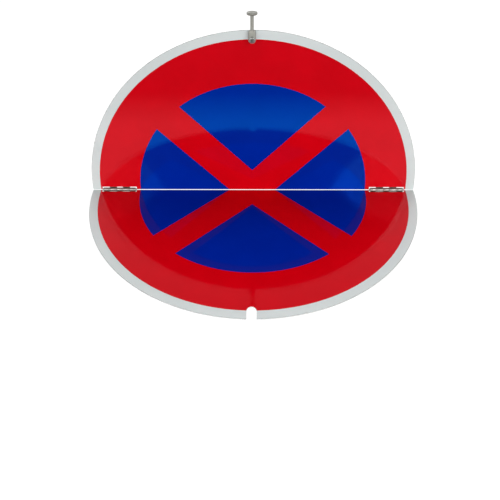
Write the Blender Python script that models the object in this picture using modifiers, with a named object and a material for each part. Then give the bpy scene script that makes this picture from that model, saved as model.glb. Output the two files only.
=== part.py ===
# Folding road sign: two half discs joined by two hinges, with a turning latch at the top.
# The lower half lies on the ground, face up, and the upper half stands on it, leaning back a little.
# Each half is drawn in a frame of its own: X along the hinge axis, Y away from the axis and Z out of
# the printed face, with the hinge axis at the frame's origin.
import bpy
import bmesh
from math import asin, atan, cos, pi, radians, sin, sqrt
from mathutils import Vector

# Driving dimensions in metres, and angles in degrees
SIGN_RADIUS = 0.300
RIM_WIDTH = 0.015
RED_WIDTH = 0.075
BAR_WIDTH = 0.060
PANEL_THICKNESS = 0.002
FACE_ANGLE = 96.05

FILM_THICKNESS = 0.00025
FILM_INSET = 0.0003
COLOUR_GAP = 0.0001

# The hinge axis lies a little in front of the sheets, so that the closed faces stay apart
AXIS_LIFT = 0.0005
EDGE_SETBACK = 0.0005

HINGE_FROM_RIM = 0.050
LEAF_WIDTH = 0.060
LEAF_REACH = 0.030
LEAF_THICKNESS = 0.0012
KNUCKLE_WIDTH = 0.0106
KNUCKLE_CLEARANCE = 0.0004
PIN_CLEARANCE = 0.0001
PIN_OVERHANG = 0.00225
PIN_DOME = 0.0009
PIN_END_CLEARANCE = 0.00025
BARREL_CLEARANCE = 0.0022
SLOT_CLEARANCE = 0.0012

RIVET_SPACING = 0.0228
RIVET_SIDE_REACH = 0.016
RIVET_MIDDLE_REACH = 0.0232
RIVET_SHANK_RADIUS = 0.002
RIVET_HEAD_RADIUS = 0.0036
RIVET_HEAD_EDGE = 0.0002

LATCH_FROM_RIM = 0.0111
SCREW_RADIUS = 0.0025
SCREW_HEAD_RADIUS = 0.00475
SCREW_HEAD_HEIGHT = 0.00275
SCREW_CLEARANCE = 0.00015
SCREW_TAIL = 0.001
SOCKET_WIDTH = 0.003
SOCKET_DEPTH = 0.0016
WASHER_RADIUS = 0.0053
WASHER_THICKNESS = 0.001
NUT_WIDTH = 0.008
NUT_HEIGHT = 0.004
SLEEVE_RADIUS = 0.0055
EYE_RADIUS = 0.0062
EYE_THICKNESS = 0.0064
BODY_TAPER_START = 0.002
BODY_REACH = 0.0135
BODY_END_RADIUS = 0.0056
ROD_RADIUS = 0.0028
KNOB_RADIUS = 0.0085
KNOB_THICKNESS = 0.004
KNOB_CHAMFER = 0.0007
KNOB_DISTANCE = 0.0382
KNOB_CLEARANCE = 0.0006
SPIGOT_RADIUS = 0.002
SPIGOT_LENGTH = 0.003
NOTCH_SIDE_CLEARANCE = 0.0013
NOTCH_END_CLEARANCE = 0.0052

LABEL_THICKNESS = 0.0001
LABELS_FROM_MIDDLE = 0.120
LABEL_GAP = 0.0003
DATA_LABEL_WIDTH = 0.067
DATA_LABEL_HEIGHT = 0.086
DATA_LABEL_REACH = 0.1293
DATA_LABEL_TURN = 2.3
CLEAR_LABEL_WIDTH = 0.0643
CLEAR_LABEL_HEIGHT = 0.040
CLEAR_LABEL_REACH = 0.1758
STRIP_WIDTH = 0.0595
STRIP_HEIGHT = 0.0175
STRIP_POINT = 0.007
STRIP_MARGIN = 0.003

# Gap between pieces that rest on one another, and how far a cutter runs past what it cuts
FIT = 0.0001
OVERCUT = 0.002

# Segments in round shapes
RIM_STEPS = 72
SMALL_STEPS = 20

# Heights along a half's Z, counted from the hinge axis
FACE = -AXIS_LIFT
BACK = FACE - PANEL_THICKNESS
FILM_BOTTOM = FACE + FIT
FILM_TOP = FILM_BOTTOM + FILM_THICKNESS
LEAF_TOP = BACK - FIT
LEAF_BOTTOM = LEAF_TOP - LEAF_THICKNESS
BARREL_RADIUS = -LEAF_BOTTOM
BORE_RADIUS = -LEAF_TOP

RED_RADIUS = SIGN_RADIUS - RIM_WIDTH
BLUE_RADIUS = RED_RADIUS - RED_WIDTH
FILM_EDGE = EDGE_SETBACK + FILM_INSET

HINGE_OFFSET = SIGN_RADIUS - HINGE_FROM_RIM
PIN_LENGTH = LEAF_WIDTH + 2 * PIN_OVERHANG
SLOT_WIDTH = (LEAF_WIDTH - 3 * KNUCKLE_WIDTH) / 2
SLOT_OFFSET = (KNUCKLE_WIDTH + SLOT_WIDTH) / 2

PIVOT_REACH = SIGN_RADIUS - LATCH_FROM_RIM
SCREW_HOLE_RADIUS = SCREW_RADIUS + SCREW_CLEARANCE
ARM_HEIGHT = KNOB_RADIUS + KNOB_CLEARANCE - BACK
EYE_TOP = ARM_HEIGHT + EYE_THICKNESS / 2
EYE_BOTTOM = ARM_HEIGHT - EYE_THICKNESS / 2
WASHER_BOTTOM = EYE_TOP + FIT
HEAD_BOTTOM = WASHER_BOTTOM + WASHER_THICKNESS + FIT
BACK_WASHER_TOP = BACK - FIT
NUT_TOP = BACK_WASHER_TOP - WASHER_THICKNESS - FIT
NOTCH_RADIUS = EYE_RADIUS + NOTCH_SIDE_CLEARANCE
NOTCH_CENTRE = PIVOT_REACH - EYE_RADIUS - NOTCH_END_CLEARANCE + NOTCH_RADIUS

# The lower half rests on the outer edges of its leaves and on its rim, which tilts it this much
REST_TILT = atan((FIT + LEAF_THICKNESS) / (SIGN_RADIUS - LEAF_REACH))
LEAN_BACK = radians(FACE_ANGLE - 90) - REST_TILT

# Turns that lay a shape's own axes along a half's axes
EXTRUDED_ALONG_HINGE = (pi / 2, 0, pi / 2)
TURNED_ALONG_HINGE = (0, pi / 2, 0)
TURNED_ALONG_REACH = (-pi / 2, 0, 0)


def make_collection(name):
    group = bpy.data.collections.new(name)
    bpy.context.scene.collection.children.link(group)
    return group


def make_material(name, colour, roughness, metallic):
    surface = bpy.data.materials.new(name)
    surface.use_nodes = True
    shader = surface.node_tree.nodes["Principled BSDF"]
    shader.inputs["Base Color"].default_value = (*colour, 1)
    shader.inputs["Roughness"].default_value = roughness
    shader.inputs["Metallic"].default_value = metallic
    return surface


for old in list(bpy.data.objects):
    bpy.data.objects.remove(old)

signPieces = make_collection("folding_road_sign")
cutterPieces = make_collection("sign_cutters")

aluminium = make_material("aluminium_sheet", (0.30, 0.31, 0.30), 0.45, 1.0)
hingeSteel = make_material("hinge_steel", (0.50, 0.48, 0.46), 0.35, 1.0)
latchSteel = make_material("turned_steel", (0.42, 0.42, 0.39), 0.30, 1.0)
whiteFilm = make_material("white_film", (0.62, 0.66, 0.65), 0.40, 0.0)
redFilm = make_material("red_film", (0.58, 0.003, 0.008), 0.15, 0.0)
blueFilm = make_material("blue_film", (0.002, 0.045, 0.36), 0.15, 0.0)
labelPaper = make_material("label_white", (0.70, 0.70, 0.68), 0.50, 0.0)
labelClear = make_material("label_clear", (0.35, 0.36, 0.36), 0.30, 0.0)
labelYellow = make_material("label_yellow", (0.75, 0.60, 0.02), 0.45, 0.0)


def make_empty(name, parent=None, at=(0, 0, 0), turn=(0, 0, 0)):
    frame = bpy.data.objects.new(name, None)
    frame.parent = parent
    frame.location = at
    frame.rotation_euler = turn
    signPieces.objects.link(frame)
    return frame


# A piece without a surface is a cutter
def place(name, mesh, parent, surface=None, at=(0, 0, 0), turn=(0, 0, 0)):
    piece = bpy.data.objects.new(name, mesh)
    piece.parent = parent
    piece.location = at
    piece.rotation_euler = turn
    if surface is None:
        piece.hide_render = True
        piece.display_type = "WIRE"
        cutterPieces.objects.link(piece)
    else:
        mesh.materials.append(surface)
        signPieces.objects.link(piece)
    return piece


def arc(radius, start, end, steps, centre=(0, 0)):
    angles = [start + (end - start) * step / steps for step in range(steps + 1)]
    return [(centre[0] + radius * cos(angle), centre[1] + radius * sin(angle)) for angle in angles]


def circle(radius, centre=(0, 0), steps=SMALL_STEPS):
    return arc(radius, 0, 2 * pi, steps, centre)[:-1]


def box_outline(low, high):
    return [low, (high[0], low[1]), high, (low[0], high[1])]


# Flat outlines, the first one outside and the others holes, made a sheet from bottom to top
def plate(name, outlines, bottom, top, parent, surface=None, at=(0, 0), turn=(0, 0, 0), along=(0, 0, 1)):
    drawing = bpy.data.curves.new(name, "CURVE")
    drawing.dimensions = "2D"
    drawing.fill_mode = "BOTH"
    drawing.extrude = (top - bottom) / 2
    for outline in outlines:
        spline = drawing.splines.new("POLY")
        spline.points.add(len(outline) - 1)
        for point, (across, up) in zip(spline.points, outline):
            point.co = (across, up, 0, 1)
        spline.use_cyclic_u = True
    sketch = bpy.data.objects.new(name + "_sketch", drawing)
    bpy.context.scene.collection.objects.link(sketch)
    graph = bpy.context.evaluated_depsgraph_get()
    mesh = bpy.data.meshes.new_from_object(sketch.evaluated_get(graph))
    mesh.name = name
    mesh.materials.clear()
    welded = bmesh.new()
    welded.from_mesh(mesh)
    bmesh.ops.remove_doubles(welded, verts=welded.verts, dist=1e-6)
    bmesh.ops.recalc_face_normals(welded, faces=welded.faces)
    welded.to_mesh(mesh)
    welded.free()
    bpy.data.objects.remove(sketch)
    middle = Vector((at[0], at[1], 0)) + Vector(along) * (bottom + top) / 2
    return place(name, mesh, parent, surface, middle, turn)


# A profile of radii and heights, listed down its outer side, turned round its own Z axis
def turned(name, profile, parent, surface=None, at=(0, 0, 0), turn=(0, 0, 0), closed=False):
    line = bmesh.new()
    points = [line.verts.new((radius, 0, height)) for radius, height in profile]
    for first, second in zip(points, points[1:]):
        line.edges.new((first, second))
    if closed:
        line.edges.new((points[-1], points[0]))
    mesh = bpy.data.meshes.new(name)
    line.to_mesh(mesh)
    line.free()
    piece = place(name, mesh, parent, surface, at, turn)
    screw = piece.modifiers.new("turn", "SCREW")
    screw.axis = "Z"
    screw.steps = SMALL_STEPS
    screw.render_steps = SMALL_STEPS
    screw.use_merge_vertices = True
    screw.merge_threshold = 1e-6
    return piece


def tube(name, inner, outer, bottom, top, parent, surface=None, at=(0, 0, 0)):
    profile = [(outer, top), (outer, bottom), (inner, bottom), (inner, top)]
    return turned(name, profile, parent, surface, at, closed=True)


def cylinder(name, radius, bottom, top, parent, surface=None, at=(0, 0, 0)):
    profile = [(0, top), (radius, top), (radius, bottom), (0, bottom)]
    return turned(name, profile, parent, surface, at)


def shape_with(piece, tools, operation="DIFFERENCE"):
    for tool in tools:
        step = piece.modifiers.new(tool.name, "BOOLEAN")
        step.operation = operation
        step.solver = "EXACT"
        step.object = tool


# Outlines of the printed fields

def half_disc(radius, edge):
    start = asin(edge / radius)
    return arc(radius, start, pi - start, RIM_STEPS)


def ring_part(inner, outer, edge, end):
    outside = arc(outer, asin(edge / outer), end, RIM_STEPS // 2)
    inside = arc(inner, end, asin(edge / inner), RIM_STEPS // 2)
    return outside + inside


# The blue field between the two arms of the cross that stand in a half
def middle_field(bar, radius):
    start = pi / 4 + asin(bar / 2 / radius)
    return [(0, bar / sqrt(2))] + arc(radius, start, pi - start, RIM_STEPS // 3)


# The blue field between an arm of the cross and the fold, on the side given as 1 or -1
def side_field(bar, radius, edge, side):
    corner = (bar / sqrt(2) + edge, edge)
    points = [corner] + arc(radius, asin(edge / radius), pi / 4 - asin(bar / 2 / radius), RIM_STEPS // 5)
    return [(side * across, up) for across, up in points]


# World side of a piece: seen from the front the lower half's own X runs to the left
def side_name(half, side):
    return "right" if side * half["facing"] > 0 else "left"


def make_hinge_cutouts(half):
    reach = BARREL_RADIUS + BARREL_CLEARANCE
    width = PIN_LENGTH + 2 * PIN_END_CLEARANCE
    cutouts = []
    for side in (-1, 1):
        low = (side * HINGE_OFFSET - width / 2, -OVERCUT)
        high = (side * HINGE_OFFSET + width / 2, reach)
        name = half["name"] + "_cutout_" + side_name(half, side)
        outline = box_outline(low, high)
        cutouts.append(plate(name, [outline], BACK - OVERCUT, OVERCUT, half["frame"]))
    return cutouts


def make_rivet_holes(half):
    top = OVERCUT
    holes = []
    for side in (-1, 1):
        for spot, (across, reach) in rivet_spots(side).items():
            name = "_".join((half["name"], "rivet_hole", side_name(half, side), spot))
            profile = [(0, top)] + rivet_side(FIT, top, LEAF_BOTTOM - FIT) + [(0, LEAF_BOTTOM - FIT)]
            holes.append(turned(name, profile, half["frame"], at=(across, reach, 0)))
    return holes


def rivet_spots(side):
    centre = side * HINGE_OFFSET
    return {
        "outer": (centre + side * RIVET_SPACING, RIVET_SIDE_REACH),
        "inner": (centre - side * RIVET_SPACING, RIVET_SIDE_REACH),
        "middle": (centre, RIVET_MIDDLE_REACH),
    }


# Outer side of a countersunk rivet, or of its hole where the clearance is more than nothing
def rivet_side(clearance, top, bottom):
    shank = RIVET_SHANK_RADIUS + clearance
    head = RIVET_HEAD_RADIUS + clearance
    return [(shank, top), (shank, LEAF_TOP), (head, LEAF_BOTTOM + RIVET_HEAD_EDGE), (head, bottom)]


def make_rivets(half):
    top = FACE - FIT
    for side in (-1, 1):
        for spot, (across, reach) in rivet_spots(side).items():
            name = "_".join(("rivet", half["name"], side_name(half, side), spot))
            profile = [(0, top)] + rivet_side(0, top, LEAF_BOTTOM) + [(0, LEAF_BOTTOM)]
            turned(name, profile, half["frame"], hingeSteel, at=(across, reach, 0))


def make_panel(half, tools):
    outline = half_disc(SIGN_RADIUS, EDGE_SETBACK)
    panel = plate(half["name"] + "_panel", [outline], BACK, FACE, half["frame"], aluminium)
    shape_with(panel, tools)


def film(half, name, outlines, surface, tools):
    sheet = plate(half["name"] + name, outlines, FILM_BOTTOM, FILM_TOP, half["frame"], surface)
    shape_with(sheet, tools)


def make_red_film(half, tools):
    bar = BAR_WIDTH - 2 * COLOUR_GAP
    radius = BLUE_RADIUS + COLOUR_GAP
    fields = {"middle": middle_field(bar, radius)}
    for side in (-1, 1):
        fields[side_name(half, side)] = side_field(bar, radius, -OVERCUT, side)
    windows = []
    for spot, outline in fields.items():
        name = half["name"] + "_window_" + spot
        windows.append(plate(name, [outline], FILM_BOTTOM - OVERCUT, FILM_TOP + OVERCUT, half["frame"]))
    film(half, "_red_film", [half_disc(RED_RADIUS, FILM_EDGE)], redFilm, windows + tools)


def make_blue_films(half, cutouts):
    film(half, "_blue_film_middle", [middle_field(BAR_WIDTH, BLUE_RADIUS)], blueFilm, [])
    for side in (-1, 1):
        outline = side_field(BAR_WIDTH, BLUE_RADIUS, FILM_EDGE, side)
        film(half, "_blue_film_" + side_name(half, side), [outline], blueFilm, cutouts)


# The rim's film in one piece, or in two where the latch notch parts it
def make_rim_films(half, tools, parted):
    inner = RED_RADIUS + COLOUR_GAP
    outer = SIGN_RADIUS - FILM_INSET
    if parted:
        outline = ring_part(inner, outer, FILM_EDGE, pi / 2)
        for side in (-1, 1):
            mirrored = [(side * across, up) for across, up in outline]
            film(half, "_rim_film_" + side_name(half, side), [mirrored], whiteFilm, tools)
    else:
        outline = half_disc(outer, FILM_EDGE) + half_disc(inner, FILM_EDGE)[::-1]
        film(half, "_rim_film", [outline], whiteFilm, tools)


# Hinge leaf: a flat strip behind the sheet, rolled round the pin at the hinge axis
def make_leaves(half, gaps, holes):
    join = -asin(BORE_RADIUS / BARREL_RADIUS)
    roll = arc(BARREL_RADIUS, -pi / 2, join - 2 * pi, SMALL_STEPS)
    profile = [(LEAF_REACH, LEAF_BOTTOM)] + roll + [(LEAF_REACH, LEAF_TOP)]
    slot_end = BARREL_RADIUS + SLOT_CLEARANCE
    for side in (-1, 1):
        place_name = "_".join((half["name"], side_name(half, side)))
        centre = side * HINGE_OFFSET
        slots = []
        for number, (low, high) in enumerate(gaps):
            outline = box_outline((centre + low, -slot_end), (centre + high, slot_end))
            name = "slot_" + place_name + "_" + str(number)
            slots.append(plate(name, [outline], -slot_end, slot_end, half["frame"]))
        leaf = plate("hinge_leaf_" + place_name, [profile, circle(BORE_RADIUS)],
                     centre - LEAF_WIDTH / 2, centre + LEAF_WIDTH / 2, half["frame"], hingeSteel,
                     turn=EXTRUDED_ALONG_HINGE, along=(1, 0, 0))
        own_holes = [hole for hole in holes if hole.location.x * side > 0]
        shape_with(leaf, slots + own_holes)


def make_pins(half):
    end = PIN_LENGTH / 2
    radius = BORE_RADIUS - PIN_CLEARANCE
    dome = [(radius * sin(angle), end - PIN_DOME * (1 - cos(angle))) for angle in
            (0, pi / 8, pi / 4, 3 * pi / 8, pi / 2)]
    profile = dome + [(across, -height) for across, height in dome[::-1]]
    for side in (-1, 1):
        name = "hinge_pin_" + side_name(half, side)
        turned(name, profile, half["frame"], hingeSteel, (side * HINGE_OFFSET, 0, 0), TURNED_ALONG_HINGE)


# The latch turns on a screw through the top of the upper half
def make_latch(half):
    frame = make_empty("latch_frame", half["frame"], at=(0, PIVOT_REACH, 0))
    tube("latch_sleeve", SCREW_HOLE_RADIUS, SLEEVE_RADIUS, FILM_TOP + FIT, EYE_BOTTOM - FIT, frame, latchSteel)
    tube("latch_washer", SCREW_HOLE_RADIUS, WASHER_RADIUS, WASHER_BOTTOM, HEAD_BOTTOM - FIT, frame, latchSteel)
    tube("latch_back_washer", SCREW_HOLE_RADIUS, WASHER_RADIUS, BACK_WASHER_TOP - WASHER_THICKNESS,
         BACK_WASHER_TOP, frame, latchSteel)
    hexagon = circle(NUT_WIDTH / sqrt(3), steps=6)
    plate("latch_nut", [hexagon, circle(SCREW_HOLE_RADIUS)], NUT_TOP - NUT_HEIGHT, NUT_TOP, frame, latchSteel)
    make_screw(frame)
    make_arm(frame)


def make_screw(frame):
    top = HEAD_BOTTOM + SCREW_HEAD_HEIGHT
    crown = SCREW_HEAD_RADIUS * 0.6
    turns = (0, pi / 8, pi / 4, 3 * pi / 8, pi / 2)
    head = [(crown + (SCREW_HEAD_RADIUS - crown) * sin(turn), HEAD_BOTTOM + SCREW_HEAD_HEIGHT * cos(turn))
            for turn in turns]
    tail = NUT_TOP - NUT_HEIGHT - SCREW_TAIL
    shank = [(SCREW_RADIUS, HEAD_BOTTOM), (SCREW_RADIUS, tail), (0, tail)]
    screw = turned("latch_screw", [(0, top)] + head + shank, frame, latchSteel)
    hexagon = circle(SOCKET_WIDTH / sqrt(3), steps=6)
    socket = plate("screw_socket", [hexagon], top - SOCKET_DEPTH, top + OVERCUT, frame)
    shape_with(screw, [socket])


# The arm is turned from bar, then milled flat and rounded at the eye
def make_arm(frame):
    pivot = make_empty("latch_pivot", frame, at=(0, 0, ARM_HEIGHT))
    shoulder = KNOB_DISTANCE - FIT
    profile = [
        (0, KNOB_DISTANCE + SPIGOT_LENGTH),
        (SPIGOT_RADIUS, KNOB_DISTANCE + SPIGOT_LENGTH),
        (SPIGOT_RADIUS, shoulder),
        (ROD_RADIUS, shoulder),
        (ROD_RADIUS, BODY_REACH),
        (BODY_END_RADIUS, BODY_REACH),
        (EYE_RADIUS, BODY_TAPER_START),
        (EYE_RADIUS, -EYE_RADIUS - OVERCUT),
        (0, -EYE_RADIUS - OVERCUT),
    ]
    arm = turned("latch_arm", profile, pivot, latchSteel, turn=TURNED_ALONG_REACH)
    half_width = EYE_RADIUS + OVERCUT
    end = KNOB_DISTANCE + SPIGOT_LENGTH + OVERCUT
    side = [(EYE_RADIUS, 0), (half_width, OVERCUT), (half_width, end)]
    eye = side + [(-across, up) for across, up in side[::-1]] + arc(EYE_RADIUS, pi, 2 * pi, SMALL_STEPS // 2)[1:-1]
    slab = plate("eye_slab", [eye], -EYE_THICKNESS / 2, EYE_THICKNESS / 2, pivot)
    hole = cylinder("eye_hole", SCREW_HOLE_RADIUS, -EYE_THICKNESS, EYE_THICKNESS, pivot)
    shape_with(arm, [slab], "INTERSECT")
    shape_with(arm, [hole])
    socket = SPIGOT_RADIUS + FIT
    rim = KNOB_RADIUS - KNOB_CHAMFER
    knob = [
        (0, KNOB_THICKNESS),
        (rim, KNOB_THICKNESS),
        (KNOB_RADIUS, KNOB_THICKNESS - KNOB_CHAMFER),
        (KNOB_RADIUS, KNOB_CHAMFER),
        (rim, 0),
        (socket, 0),
        (socket, SPIGOT_LENGTH + FIT),
        (0, SPIGOT_LENGTH + FIT),
    ]
    turned("latch_knob", knob, pivot, latchSteel, (0, KNOB_DISTANCE, 0), TURNED_ALONG_REACH)


# Labels lie on the back of the lower half, each over the last one's height
def make_labels(half):
    top = BACK - FIT
    bottom = top - LABEL_THICKNESS
    paper = box_outline((0, 0), (DATA_LABEL_WIDTH, DATA_LABEL_HEIGHT))
    plate("data_label", [paper], bottom, top, half["frame"], labelPaper,
          at=(LABELS_FROM_MIDDLE + LABEL_GAP, DATA_LABEL_REACH), turn=(0, 0, -radians(DATA_LABEL_TURN)))
    clear = box_outline((-CLEAR_LABEL_WIDTH, 0), (0, CLEAR_LABEL_HEIGHT))
    corner = (LABELS_FROM_MIDDLE - LABEL_GAP, CLEAR_LABEL_REACH)
    plate("clear_label", [clear], bottom, top, half["frame"], labelClear, at=corner)
    strip = [
        (0, 0),
        (0, STRIP_HEIGHT),
        (STRIP_POINT - STRIP_WIDTH, STRIP_HEIGHT),
        (-STRIP_WIDTH, STRIP_HEIGHT / 2),
        (STRIP_POINT - STRIP_WIDTH, 0),
    ]
    plate("yellow_strip", [strip], bottom - FIT - LABEL_THICKNESS, bottom - FIT, half["frame"], labelYellow,
          at=(corner[0] - LABEL_GAP, corner[1] + STRIP_MARGIN))


def make_lower_half(root):
    frame = make_empty("lower_frame", root, turn=(-REST_TILT, 0, pi))
    half = {"name": "lower", "frame": frame, "facing": -1}
    end = SIGN_RADIUS + OVERCUT
    notch_outline = [(NOTCH_RADIUS, end), (-NOTCH_RADIUS, end)]
    notch_outline += arc(NOTCH_RADIUS, pi, 2 * pi, SMALL_STEPS // 2, (0, NOTCH_CENTRE))
    notch = plate("latch_notch", [notch_outline], BACK - OVERCUT, OVERCUT, frame)
    cutouts = make_hinge_cutouts(half)
    holes = make_rivet_holes(half)
    make_panel(half, [notch] + cutouts + holes)
    make_rim_films(half, [notch] + cutouts, parted=True)
    make_red_film(half, [notch] + cutouts)
    make_blue_films(half, cutouts)
    gaps = [(side * SLOT_OFFSET - SLOT_WIDTH / 2, side * SLOT_OFFSET + SLOT_WIDTH / 2) for side in (-1, 1)]
    make_leaves(half, gaps, holes)
    make_rivets(half)
    make_pins(half)
    make_labels(half)


def make_upper_half(root):
    frame = make_empty("upper_frame", root, turn=(pi / 2 - LEAN_BACK, 0, 0))
    half = {"name": "upper", "frame": frame, "facing": 1}
    screw_hole = cylinder("latch_hole", SCREW_HOLE_RADIUS, BACK - OVERCUT, OVERCUT, frame, at=(0, PIVOT_REACH, 0))
    cutouts = make_hinge_cutouts(half)
    holes = make_rivet_holes(half)
    make_panel(half, [screw_hole] + cutouts + holes)
    make_rim_films(half, [screw_hole] + cutouts, parted=False)
    make_red_film(half, cutouts)
    make_blue_films(half, cutouts)
    middle = KNUCKLE_WIDTH / 2 + KNUCKLE_CLEARANCE
    outer = middle + SLOT_WIDTH - 2 * KNUCKLE_CLEARANCE
    end = LEAF_WIDTH / 2 + OVERCUT
    make_leaves(half, [(-middle, middle), (outer, end), (-end, -outer)], holes)
    make_rivets(half)
    make_latch(half)


# Move the sign so that it stands on the ground with its box centred on the origin
def stand_on_ground(root):
    bpy.context.view_layer.update()
    graph = bpy.context.evaluated_depsgraph_get()
    points = []
    for piece in signPieces.objects:
        if piece.type == "MESH":
            shown = piece.evaluated_get(graph)
            points += [shown.matrix_world @ vertex.co for vertex in shown.data.vertices]
    middle = [(min(values) + max(values)) / 2 for values in zip(*points)]
    root.location = (-middle[0], -middle[1], -min(point.z for point in points))
    bpy.context.view_layer.update()


signFrame = make_empty("sign_frame")
make_lower_half(signFrame)
make_upper_half(signFrame)
stand_on_ground(signFrame)
print("hinge axis at", tuple(round(value, 6) for value in signFrame.location))
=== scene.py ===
import math

import bmesh
import bpy
from mathutils import Matrix, Vector


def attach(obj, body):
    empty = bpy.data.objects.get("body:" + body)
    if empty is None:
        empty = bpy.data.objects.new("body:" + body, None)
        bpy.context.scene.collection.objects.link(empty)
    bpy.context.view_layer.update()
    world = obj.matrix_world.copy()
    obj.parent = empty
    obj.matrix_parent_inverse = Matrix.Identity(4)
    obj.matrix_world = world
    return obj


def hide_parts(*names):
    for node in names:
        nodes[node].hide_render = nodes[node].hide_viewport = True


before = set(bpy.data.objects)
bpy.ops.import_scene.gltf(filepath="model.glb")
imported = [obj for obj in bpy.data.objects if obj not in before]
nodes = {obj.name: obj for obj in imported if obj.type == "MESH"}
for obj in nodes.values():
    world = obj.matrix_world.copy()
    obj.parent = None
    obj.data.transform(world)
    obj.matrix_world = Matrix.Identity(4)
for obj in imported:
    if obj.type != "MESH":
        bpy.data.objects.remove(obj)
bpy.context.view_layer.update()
mm = 0.001
print("frame loaded:", len(nodes), "CAD nodes")


# Each half has its own flat frame: x along the hinge axis, y away from it, z out of the face
sign = {
    "hinge": (0.0, 0.130929, 0.003944),
    "restTilt": 0.275866,  # degrees that the lower half tips on its hinge barrels
    "leanBack": 5.774134,  # degrees that the upper half leans back from upright
    "hingeOffset": 250 * mm,
    "pivotReach": 288.9 * mm,
    "armHeight": 11.6 * mm,
    "crease": 32,  # degrees between faces from which an edge is drawn sharp
}
hingePlace = Matrix.Translation(sign["hinge"])
lowerTilt = Matrix.Rotation(-math.radians(sign["restTilt"]), 4, "X")
lowerTurn = Matrix.Rotation(math.pi, 4, "Z") @ lowerTilt
upperTurn = Matrix.Rotation(math.radians(90 - sign["leanBack"]), 4, "X")
halves = {
    "lower": {"place": hingePlace @ lowerTurn, "body": "lower_half", "facing": -1},
    "upper": {"place": hingePlace @ upperTurn, "body": "upper_half", "facing": 1},
}
screwPlace = halves["upper"]["place"] @ Matrix.Translation((0, sign["pivotReach"], 0))
armPlace = screwPlace @ Matrix.Translation((0, 0, sign["armHeight"]))
standUp = Matrix.Rotation(-math.pi / 2, 4, "X")  # turns a piece's own z axis along the half's y
layAlong = Matrix.Rotation(math.pi / 2, 4, "Y")  # turns a piece's own z axis along the hinge


# A screen colour code as the linear light values that a shader takes, by the sRGB curve
def toLinear(code):
    channels = [int(code[i:i + 2], 16) / 255 for i in (1, 3, 5)]
    return [c / 12.92 if c <= 0.04045 else ((c + 0.055) / 1.055) ** 2.4 for c in channels] + [1.0]


def addNode(tree, kind, values=None, links=None, **settings):
    node = tree.nodes.new("ShaderNode" + kind)
    for key, value in settings.items():
        setattr(node, key, value)
    for key, value in (values or {}).items():
        node.inputs[key].default_value = value
    for key, source in (links or {}).items():
        tree.links.new(source, node.inputs[key])
    return node


# Noise whose patches have a real size in metres
def addNoise(tree, spot, size, detail):
    noise = addNode(tree, "TexNoise", {"Scale": 1 / size, "Detail": detail}, {"Vector": spot})
    return noise.outputs["Fac"]


# A share of the second pattern laid over the first
def mixPatterns(tree, share, first, second):
    return addNode(tree, "Mix", {0: share}, {2: first, 3: second}).outputs[0]


# The middle of a pattern stretched to the whole range from nought to one
def stretchPattern(tree, pattern, spread):
    limits = {"From Min": spread[0], "From Max": spread[1]}
    return addNode(tree, "MapRange", limits, {"Value": pattern}).outputs[0]


# A new finish with its constants on the shader's own sockets, and the piece's own coordinates
def startFinish(name, look, **constants):
    finish = bpy.data.materials.new(name)
    finish.use_nodes = True
    tree = finish.node_tree
    shader = tree.nodes["Principled BSDF"]
    shader.inputs["Base Color"].default_value = toLinear(look["colour"])
    shader.inputs["Roughness"].default_value = look["roughness"]
    for key, value in constants.items():
        shader.inputs[key.replace("_", " ")].default_value = value
    return finish, tree, shader, addNode(tree, "TexCoord").outputs["Object"]


glossSwing = {"clean": 0.82, "worn": 1.25}  # how far a finish's roughness goes with its mask


# Ties a finish's mask and relief to its colour, gloss and bump
def tieFinish(tree, shader, look, mask, relief):
    tones = {6: toLinear(look["colour"]), 7: toLinear(look["shade"])}
    tint = addNode(tree, "Mix", tones, {0: mask}, data_type="RGBA")
    gloss = addNode(tree, "MapRange", {"To Min": look["roughness"] * glossSwing["clean"],
                                       "To Max": look["roughness"] * glossSwing["worn"]},
                    {"Value": mask})
    lift = addNode(tree, "Bump", {"Strength": 1.0, "Distance": look["depth"]}, {"Height": relief})
    tree.links.new(tint.outputs[2], shader.inputs["Base Color"])
    tree.links.new(gloss.outputs[0], shader.inputs["Roughness"])
    tree.links.new(lift.outputs[0], shader.inputs["Normal"])


# Reflective film: coloured lacquer over fine glass beads on bright foil, rolled on flat.
# It gives deep colour with a coloured mirror under it, and a very faint grain.
filmLook = {
    "beadGrain": 0.7 * mm,  # real beads are 0.05 mm, drawn coarse enough to show
    "grainShare": 0.35,
    "mottle": 45 * mm,
    "mottleSpread": (0.3, 0.7),
    "wave": 70 * mm,
    "waveHeight": 0.02 * mm,
    "bow": 0.0244,  # the sheets aren't quite flat, so what they mirror is turned by this slope
    "red": {"colour": "#d80012", "shade": "#d00010", "metal": 0.09, "roughness": 0.05,
            "lacquer": "#ffcce0", "lacquerLevel": 0.24},
    "blue": {"colour": "#0028a8", "shade": "#0025a2", "metal": 0.20, "roughness": 0.05,
             "lacquer": "#00f0ff", "lacquerLevel": 0.55},
    "white": {"colour": "#dae2e1", "shade": "#d4dddc", "metal": 0.05, "roughness": 0.2,
              "lacquer": "#ffffff", "lacquerLevel": 0.4},
}


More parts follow.
